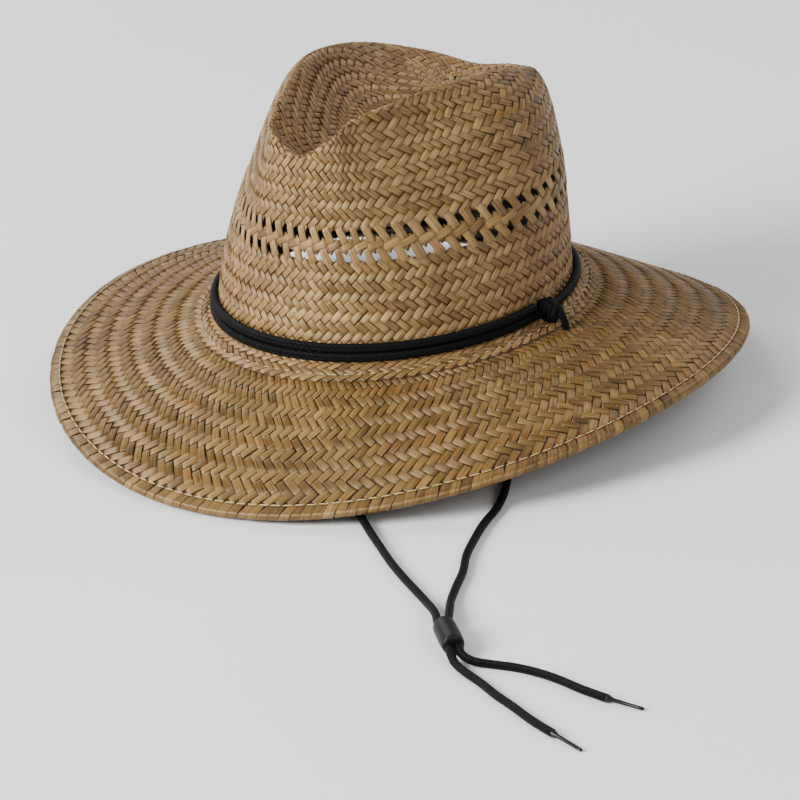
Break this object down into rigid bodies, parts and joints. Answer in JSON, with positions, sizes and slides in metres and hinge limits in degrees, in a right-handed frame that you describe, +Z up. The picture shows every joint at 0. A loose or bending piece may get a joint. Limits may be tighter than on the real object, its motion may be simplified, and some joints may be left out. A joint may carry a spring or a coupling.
{
  "type": "straw sun hat",
  "caption": "Wide-brimmed woven straw sun hat with a creased, pinched crown, rows of vent holes, a corded band and an adjustable chin cord with a barrel slider.",
  "frame": {"origin": "centre of the brim's outline, on the surface that the hat stands on", "axes": "+Z up out of the crown, -Y towards the front of the hat, +X towards the wearer's left"},
  "size_m": [0.499, 0.5154, 0.1759],
  "materials": {
    "crown_straw": "woven palm straw, matt",
    "brim_straw": "woven palm straw, darker, matt",
    "wire": "bright wire",
    "thread": "cotton thread",
    "sweatband_cloth": "cotton cloth",
    "sweatband_thread": "cotton thread",
    "black_cord": "braided cord",
    "tip_plastic": "gloss",
    "slider_plastic": "satin"
  },
  "bodies": {
    "hat": {"crown": "crown_straw", "brim": "brim_straw", "brim_wire": "wire", "edge_stitch": "thread", "crown_stitch": "thread", "sweatband": "sweatband_cloth", "sweatband_stitch": "sweatband_thread", "hat_cord": "black_cord", "front_cord": "black_cord", "ear_knot_left": "black_cord", "ear_knot_right": "black_cord", "chin_cord_left": "black_cord", "chin_cord_right": "black_cord", "cord_tail_left": "black_cord", "cord_tail_right": "black_cord", "cord_tip_left": "tip_plastic", "cord_tip_right": "tip_plastic"},
    "slider": {"slider": "slider_plastic"}
  },
  "joints": [
    {"name": "cord_slide", "type": "slide", "parent": "hat", "child": "slider", "axis": [-0.7071, 0.7071, 0], "range_m": [-0.04, 0.1], "deforming": ["chin_cord_left", "chin_cord_right", "cord_tail_left", "cord_tail_right"]}
  ]
}
